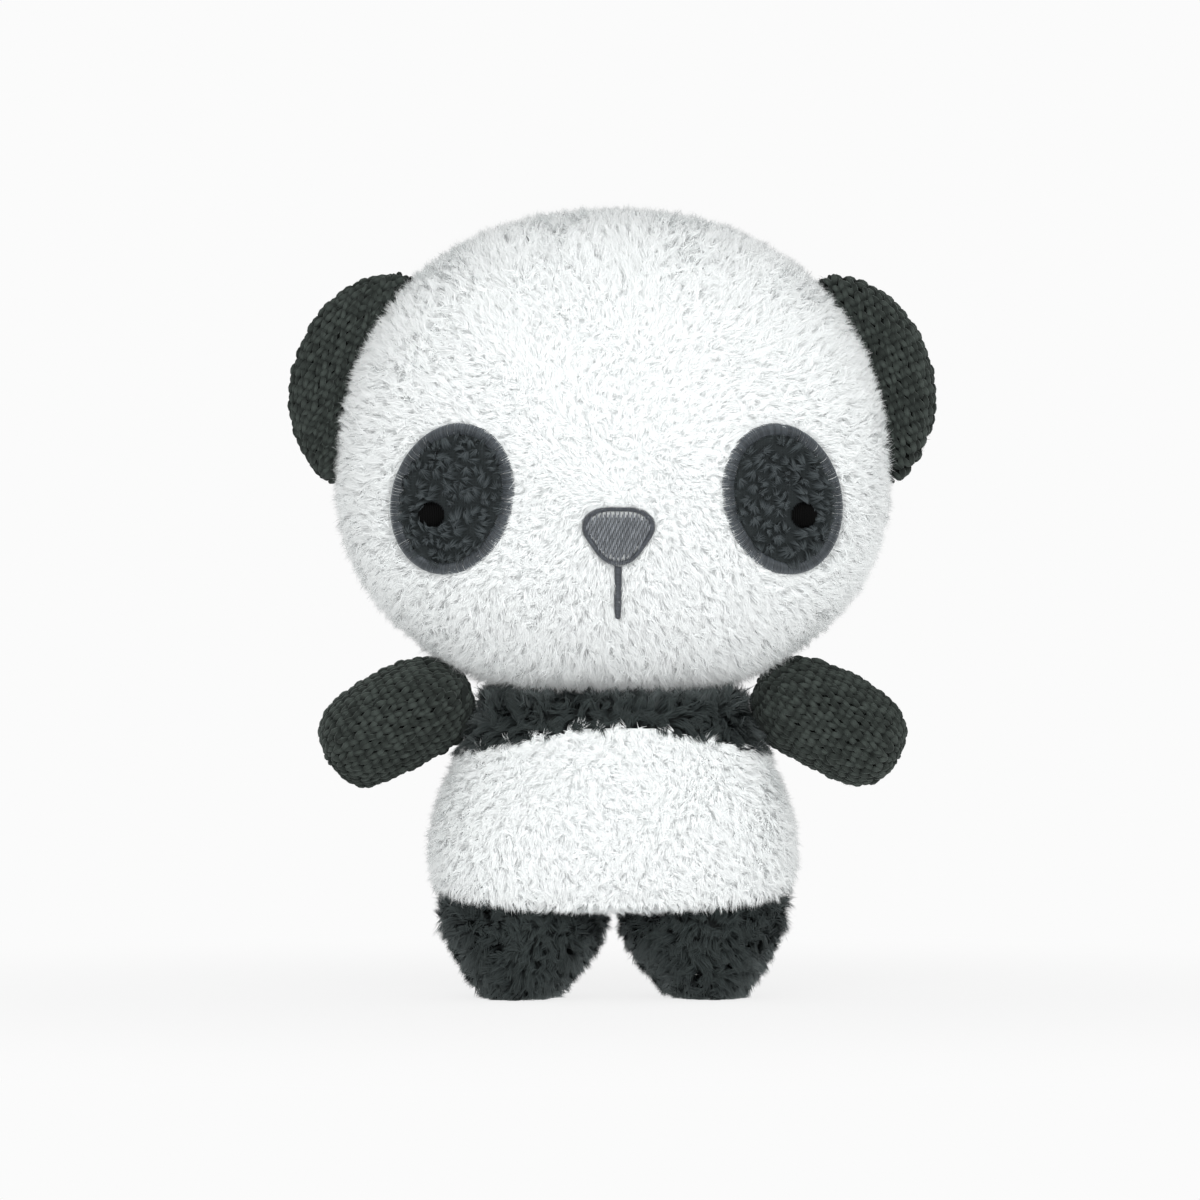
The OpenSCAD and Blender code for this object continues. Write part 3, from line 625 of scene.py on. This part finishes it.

# ---- Body ----
# A dark plush chest band over a white plush belly, in front and behind, sewn at the sides
# and along the band's lower edge, which dips towards the arms.
# The pile is near black at its roots and on the cloth and lightest at its tips: painted shade deep in the
# pile and painted highlight on the tips.
dark_pile = strand_material("charcoal_pile", (0.006, 0.008, 0.008), (0.018, 0.024, 0.024),
                            (0.044, 0.054, 0.053), 0.4, 0.7, 0.2, (0.7, 0.8, 0.8), 0.15)
band_top, band_side = 0.087, 0.077
hem_z, hem_side_z = 0.0275, 0.0365
shoulder_z, shoulder_fade = 0.089, 0.004
body_skin = closed_skin("body_skin", ["chest_front", "chest_back", "belly_front", "belly_back"],
                        0.0022, pile_depth, 5)


def above_band(place):
    """True on the chest band, false on the belly."""
    cosine = np.abs(place[:, 0]) / np.hypot(place[:, 0], place[:, 1] * 1.6)
    return place[:, 2] > band_top - (band_top - band_side) * cosine ** 1.6


def above_hem(place):
    """True above the belly's lower edge, which rises towards the sides."""
    cosine = np.abs(place[:, 0]) / np.hypot(place[:, 0], place[:, 1] * 1.8)
    return place[:, 2] > hem_z + (hem_side_z - hem_z) * cosine ** 3


def down_comb(place, out):
    """Down over the belly."""
    return np.array([0, 0, -0.9]) + 0.3 * out * np.array([1, 1, 0])


def rising(value, start, span, low=0, high=1):
    """A share that grows with value from its start, kept between two limits."""
    return np.clip((value - start) / span, low, high)


def belly_trim(place):
    """Shorter under the body, between the legs."""
    return rising(place[:, 2], 0.010, 0.035, 0.4, 1)


def chest_comb(place, out):
    """Down over the belly, and up and outwards on the shoulders."""
    way = 0.5 * out
    way[:, 2] += rising(place[:, 2], 0.090, 0.006, -0.9, 0.7)
    return way


def shoulder_trim(place):
    """Longer on the shoulders, where the pile fills the corner between head and arm."""
    high = rising(place[:, 2], shoulder_z, shoulder_fade)
    return 1 + 0.8 * high * rising(np.abs(place[:, 0]), 0.032, 0.006)


for name, front in (("front", True), ("back", False)):
    kept = half_of(front)
    belly = plush_piece(f"belly_{name}_plush", body_skin,
                        keep=lambda c: kept(c) & ~above_band(c) & above_hem(c),
                        count=58000 if front else 48000, length=0.0066, width=0.00024, tuft=10,
                        gather=0.35, lean=1.0, comb=down_comb, material=white_pile,
                        seed=71 + front, trim=belly_trim)
    chest = plush_piece(f"chest_{name}_plush", body_skin, keep=lambda c: kept(c) & above_band(c),
                        count=16000, length=0.0075, width=0.00032, tuft=20, gather=0.6, lean=1.1,
                        comb=chest_comb, material=dark_pile, seed=81 + front, trim=shoulder_trim)
    for piece, node, slot in ((belly, f"belly_{name}", "white_plush"),
                              (chest, f"chest_{name}", "charcoal_plush")):
        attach(piece, "torso")
        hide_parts(node)
bpy.data.objects.remove(body_skin)

# ---- Legs ----
# Short stubs of shaggy dark plush with a small flat sole, sewn into the body's hem.
# Their pile also covers the rounded top that turns inside the body.
leg_top_z, sole_lift = 0.042, 0.0003


def leg_comb(place, out):
    """Down over the foot, and up over the hip seam."""
    way = 0.5 * out
    way[:, 2] += rising(place[:, 2], 0.026, 0.012, -0.5, 0.5)
    return way


def hem_trim(place):
    """Longer at the outer end of the hip seam."""
    high = rising(place[:, 2], 0.022, 0.008)
    return 1 + high * rising(np.abs(place[:, 0]), 0.030, 0.02, 0, 0.7)


for name, side in (("left", 1), ("right", -1)):
    leg_skin = closed_skin("leg_skin", [f"leg_front_{name}", f"leg_back_{name}", f"leg_stuffing_{name}"],
                           0.002, pile_depth, 4)
    for half, front in (("front", True), ("back", False)):
        kept = half_of(front)
        leg = plush_piece(f"leg_{half}_plush_{name}", leg_skin,
                          keep=lambda c: (c[:, 2] < leg_top_z) & kept(c),
                          count=18000, length=0.0074, width=0.00032, tuft=18, gather=0.6, lean=1.1,
                          comb=leg_comb, material=dark_pile, seed=91 + side + 10 * front,
                          floor=sole_lift, trim=hem_trim)
        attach(leg, f"leg_{name}")
        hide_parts(f"leg_{half}_{name}")
    bpy.data.objects.remove(leg_skin)

# ---- Arms and ears ----
# Small stuffed shapes in thick charcoal yarn, with the ears flatter than the arms.
# Rows of V stitches run round each of them, over a near black backing that is painted shade in the gaps
# between stitches, with some loose fuzz.
# Stitches and fuzz are near black at their ends and lightest in the middle, and the backing has the root
# colour: painted shade between the stitches.
yarn = strand_material("charcoal_yarn", (0.008, 0.010, 0.009), (0.033, 0.040, 0.036),
                       (0.011, 0.013, 0.012), 0.45, 0.9, 0.15, (0.75, 0.85, 0.8), 0.08)
stitch_w, row_h, yarn_r = 0.0033, 0.0028, 0.00102


def at_length(d, length, field):
    """What a field of places or normals says at a length along a ring."""
    return np.array([np.interp(d, length, field[:, k]) for k in range(3)])


def knit_paths(skin, start, end, seed):
    """Paths of the two strands of every V stitch over a stuffed shape between two places."""
    rng = np.random.default_rng(seed)
    points, _, triangles = skin_arrays(skin)
    tree = BVHTree.FromPolygons([Vector(p) for p in points], [tuple(int(i) for i in t) for t in triangles])
    axis = unit(end - start)
    long = np.linalg.norm(end - start)
    across = unit(np.cross(axis, [0, 1, 0]))
    over = np.cross(across, axis)

    def hit(s, angle):
        """Place and normal of the skin, seen from the axis at a length and an angle."""
        middle = points[np.abs((points - start) @ axis - s) < 0.002].mean(axis=0)
        middle += axis * (s - (middle - start) @ axis)
        way = math.cos(angle) * across + math.sin(angle) * over
        place, normal, _, _ = tree.ray_cast(Vector(middle), Vector(way), 0.2)
        return (None, None) if place is None else (np.array(place), np.array(normal))

    profile = [(s, hit(s, 0.0)[0]) for s in np.linspace(0.001 * long, 0.999 * long, 240)]
    profile = [(s, p) for s, p in profile if p is not None]
    gaps = [np.linalg.norm(b[1] - a[1]) for a, b in zip(profile, profile[1:])]
    far = np.concatenate([[0], np.cumsum(gaps)])
    rows = np.interp(np.arange(row_h / 2, far[-1], row_h), far, [s for s, _ in profile])
    t = np.linspace(0, 1, 5)
    paths = []
    for index, s in enumerate(rows):
        ring = [hit(s, a) for a in np.linspace(0, 2 * math.pi, 73)]
        ring = [h for h in ring if h[0] is not None]
        if len(ring) < 30:
            continue
        place = np.array([p for p, _ in ring])
        normal = np.array([n for _, n in ring])
        length = np.concatenate([[0], np.cumsum(np.linalg.norm(np.diff(place, axis=0), axis=1))])
        count = max(3, round(length[-1] / stitch_w))
        at = ((np.arange(count) + 0.5 * (index % 2)) / count * length[-1]) % length[-1]
        for d in at:
            p = at_length(d, length, place)
            n = unit(at_length(d, length, normal))
            ahead = unit(at_length((d + 0.001) % length[-1], length, place) - p)
            up = unit(np.cross(ahead, n))
            wide = length[-1] / count
            wobble = rng.normal(size=3) * 0.00025
            # Each strand of the V leans out as it rises, over one and a half rows.
            for leg in (1, -1):
                x = leg * wide * (0.06 + 0.42 * t ** 0.8)
                y = row_h * (-0.75 + 1.5 * t)
                h = 0.0001 + 0.0008 * np.sin(math.pi * (0.1 + 0.85 * t))
                paths.append(p + wobble + x[:, None] * ahead + y[:, None] * up + h[:, None] * n)
    return np.array(paths)


def knit_piece(name, skin, keep, paths, seed):
    """A near black skin, painted shade for the gaps, with its V stitches and fuzz on it, as one mesh."""
    stitches = paths[keep(paths.mean(axis=1))]
    cover = threads(name, stitches, yarn_r, yarn, seed, sides=7, thin=0.5)
    points, _, triangles = skin_arrays(skin)
    used, cloth = np.unique(triangles[keep(points[triangles].mean(axis=1))], return_inverse=True)
    under = make_piece(name + "_under", points[used], cloth.ravel(), np.full(cloth.size // 3, 3),
                       np.tile(cloth_uv, (cloth.size // 3, 1)), yarn)
    fuzz = plush_piece(name + "_fuzz", skin, keep, count=2000, length=0.0028, width=0.00012, tuft=3,
                       gather=0.1, lean=2.2, comb=lambda place, out: wander(place, 0.004, seed),
                       material=yarn, seed=seed + 1)
    bpy.ops.object.select_all(action="DESELECT")
    for piece in (cover, under, fuzz):
        piece.select_set(True)
    bpy.context.view_layer.objects.active = cover
    bpy.ops.object.join()
    return cover


arm_root_x, arm_root_z, arm_root_r = 0.0595, 0.093, 0.0146
arm_l, arm_droop = 0.0345, math.radians(32)
for name, side in (("left", 1), ("right", -1)):
    arm_skin = closed_skin("arm_skin", [f"arm_front_{name}", f"arm_back_{name}"], 0.0016, 0.0003, 3)
    shoulder = np.array([side * arm_root_x, 0, arm_root_z])
    way = np.array([side * math.cos(arm_droop), 0, -math.sin(arm_droop)])
    paths = knit_paths(arm_skin, shoulder - way * arm_root_r, shoulder + way * arm_l, 101 + side)
    for half, front in (("front", True), ("back", False)):
        arm = knit_piece(f"arm_{half}_knit_{name}", arm_skin, half_of(front), paths,
                         111 + side + 10 * front)
        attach(arm, f"arm_{name}")
        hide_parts(f"arm_{half}_{name}")
    bpy.data.objects.remove(arm_skin)

ear_tilt, ear_knit_lean = math.radians(17.5), 1.6
for name, side in (("left", 1), ("right", -1)):
    ear_skin = closed_skin("ear_skin", [f"ear_front_{name}", f"ear_back_{name}"], 0.0013, 0.0004, 3)
    points, _, _ = skin_arrays(ear_skin)
    middle = points.mean(axis=0)
    chord = unit(np.array([-side * math.sin(ear_tilt) * ear_knit_lean, 0, math.cos(ear_tilt)]))
    reach = (points - middle) @ chord
    paths = knit_paths(ear_skin, middle + chord * reach.min(), middle + chord * reach.max(),
                       121 + side)
    for half, front in (("front", True), ("back", False)):
        ear = knit_piece(f"ear_{half}_knit_{name}", ear_skin, half_of(front), paths,
                         131 + side + 10 * front)
        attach(ear, f"ear_{name}")
        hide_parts(f"ear_{half}_{name}")
    bpy.data.objects.remove(ear_skin)

# ---- Seams ----
# Gathering thread closes each arm's root and the neck, and a few white hand stitches
# close the side seam after stuffing. The neck's core is a ball of firm fibre.
for name in ("left", "right"):
    dress(f"shoulder_seam_{name}", yarn)
dress("neck_seam", fibre_material("sewing_thread", (0.12, 0.13, 0.14), (0.05, 0.055, 0.06)))
dress("closing_stitch", fibre_material("white_thread", (0.85, 0.86, 0.87), (0.6, 0.61, 0.62)))

# ---- Studio ----
# A pale floor that runs into a pale wall, soft light from the front and above, and a
# camera with a long lens at the height of the panda's middle.
bpy.ops.mesh.primitive_plane_add(size=12, location=(0, 0, 0))
floor = bpy.context.object
floor.name = "floor"
# The floor is lit near the toy and turns into the wall's even glow further out.
floor_material = bpy.data.materials.new("floor")
floor_material.use_nodes = True
nodes, links = floor_material.node_tree.nodes, floor_material.node_tree.links
nodes["Principled BSDF"].inputs["Base Color"].default_value = (0.86, 0.86, 0.86, 1)
nodes["Principled BSDF"].inputs["Roughness"].default_value = 0.9
place, reach = nodes.new("ShaderNodeTexCoord"), nodes.new("ShaderNodeVectorMath")
reach.operation = "LENGTH"
fade = nodes.new("ShaderNodeMapRange")
fade.interpolation_type = "SMOOTHSTEP"
fade_start, fade_end, wall_level = 0.06, 0.4, 0.965
fade.inputs["From Min"].default_value = fade_start
fade.inputs["From Max"].default_value = fade_end
fade.inputs["To Min"].default_value = 0.84
wall_light = nodes.new("ShaderNodeEmission")
wall_light.inputs["Color"].default_value = (wall_level, wall_level, wall_level, 1)
blend = nodes.new("ShaderNodeMixShader")
links.new(place.outputs["Object"], reach.inputs[0])
links.new(reach.outputs["Value"], fade.inputs["Value"])
links.new(fade.outputs["Result"], blend.inputs["Fac"])
links.new(nodes["Principled BSDF"].outputs["BSDF"], blend.inputs[1])
links.new(wall_light.outputs["Emission"], blend.inputs[2])
links.new(blend.outputs["Shader"], nodes["Material Output"].inputs["Surface"])
floor.data.materials.append(floor_material)

world = bpy.data.worlds.new("studio")
bpy.context.scene.world = world
world.use_nodes = True
nodes, links = world.node_tree.nodes, world.node_tree.links
nodes["Background"].inputs["Color"].default_value = (1, 1, 1, 1)
# The wall looks pale to the camera but lights the toy only half as much.
seen, wall = nodes.new("ShaderNodeLightPath"), nodes.new("ShaderNodeMapRange")
wall.inputs["To Min"].default_value = 0.5
wall.inputs["To Max"].default_value = wall_level
links.new(seen.outputs["Is Camera Ray"], wall.inputs["Value"])
links.new(wall.outputs["Result"], nodes["Background"].inputs["Strength"])


def soft_light(name, place, target, size, power):
    """A round area light turned towards a target."""
    lamp = bpy.data.lights.new(name, "AREA")
    lamp.shape = "DISK"
    lamp.size = size
    lamp.energy = power
    light = bpy.data.objects.new(name, lamp)
    bpy.context.collection.objects.link(light)
    light.location = place
    light.rotation_euler = (Vector(target) - Vector(place)).to_track_quat("-Z", "Y").to_euler()


toy_middle = (0, 0, 0.13)
soft_light("key", (-0.5, -1.9, 1.3), toy_middle, size=1.3, power=15)
soft_light("fill", (0.9, -1.7, 0.7), toy_middle, size=1.3, power=9)
soft_light("front", (0, -2.4, 0.5), toy_middle, size=1.6, power=23)

camera_data = bpy.data.cameras.new("camera")
camera_data.lens = 200
camera_data.sensor_width = 36
camera = bpy.data.objects.new("camera", camera_data)
bpy.context.collection.objects.link(camera)
camera.location = (-0.0781, -2.119, 0.1266)
camera.rotation_euler = (math.radians(90), 0, math.radians(-2))
camera_data.clip_end = 50
bpy.context.scene.camera = camera
bpy.context.scene.view_settings.view_transform = "Standard"
